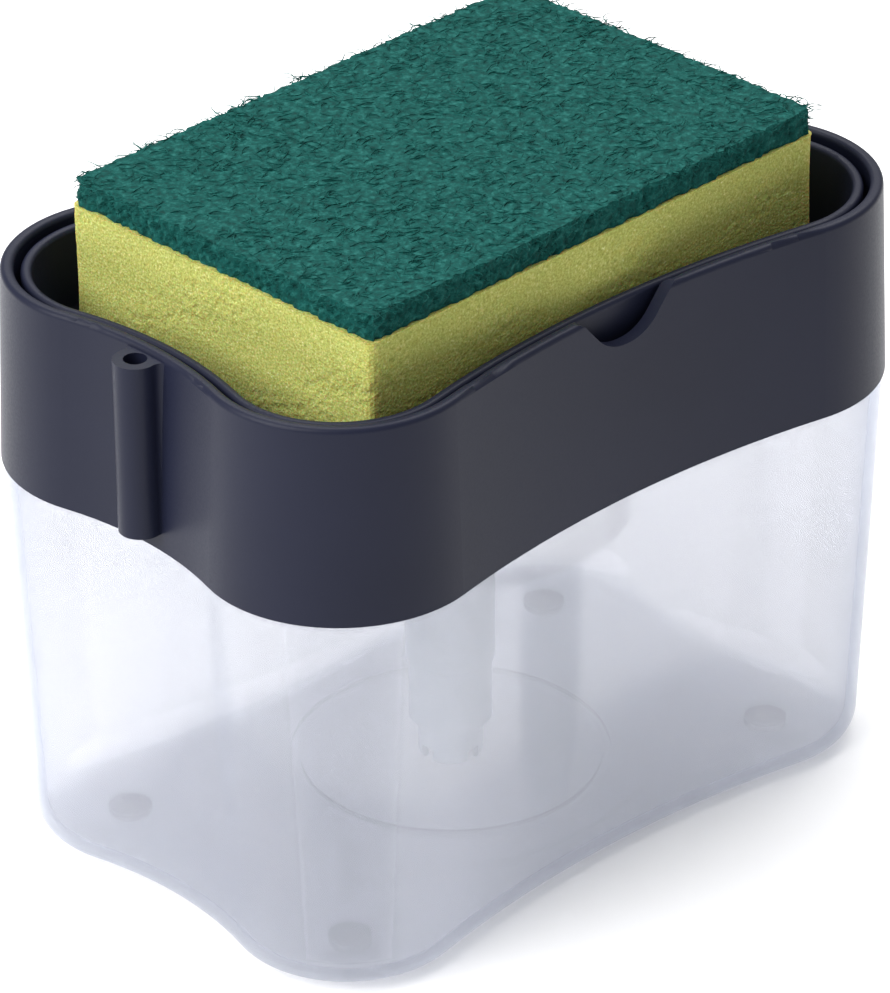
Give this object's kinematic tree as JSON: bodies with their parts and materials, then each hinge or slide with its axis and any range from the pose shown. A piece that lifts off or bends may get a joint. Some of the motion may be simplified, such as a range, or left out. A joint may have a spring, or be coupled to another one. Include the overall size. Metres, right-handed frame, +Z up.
{
  "type": "soap pump sponge caddy",
  "caption": "Sink caddy with a clear waisted soap reservoir, a dark collar and a sponge tray on a soap pump, holding a scouring sponge.",
  "frame": {"origin": "middle of the footprint, on the surface the feet stand on", "axes": "+X along the long side, +Y across, +Z up"},
  "size_m": [0.1394, 0.0932, 0.1184],
  "materials": {
    "clear_plastic": "milky translucent, smooth",
    "dark_plastic": "satin charcoal",
    "pump_plastic": "translucent white",
    "rubber": "matt grey",
    "steel": "bright stainless",
    "foam": "open-cell foam",
    "scour": "non-woven fibre"
  },
  "bodies": {
    "base": {"reservoir": "clear_plastic", "base_feet": "rubber"},
    "upper": {"collar": "dark_plastic", "pump_cylinder": "pump_plastic", "intake_tube": "pump_plastic", "ball_retainer": "pump_plastic", "pump_spring": "steel", "flange_gasket": "rubber", "clamp_ring": "pump_plastic", "guide_bush": "pump_plastic"},
    "plunger": {"pump_stem": "pump_plastic", "piston": "pump_plastic", "pump_head": "pump_plastic"},
    "tray": {"sponge_tray": "dark_plastic"},
    "sponge": {"sponge_foam": "foam", "scouring_pad": "scour"},
    "inlet_valve": {"inlet_ball": "steel"},
    "outlet_valve": {"outlet_ball": "steel"}
  },
  "joints": [
    {"name": "collar_lift", "type": "slide", "parent": "base", "child": "upper", "axis": [0, 0, 1], "range_m": [0, 0.085]},
    {"name": "pump_press", "type": "slide", "parent": "upper", "child": "plunger", "axis": [0, 0, -1], "range_m": [0, 0.008], "stiffness_N_per_m": 400, "springref_m": -0.008, "deforming": ["pump_spring"]},
    {"name": "tray_lift", "type": "slide", "parent": "plunger", "child": "tray", "axis": [0, 0, 1], "range_m": [0, 0.04]},
    {"name": "sponge_lift", "type": "slide", "parent": "tray", "child": "sponge", "axis": [0, 0, 1], "range_m": [0, 0.04]},
    {"name": "inlet_ball_lift", "type": "slide", "parent": "upper", "child": "inlet_valve", "axis": [0, 0, 1], "range_m": [0, 0.0015]},
    {"name": "outlet_ball_lift", "type": "slide", "parent": "plunger", "child": "outlet_valve", "axis": [0, 0, 1], "range_m": [0, 0.001]}
  ]
}
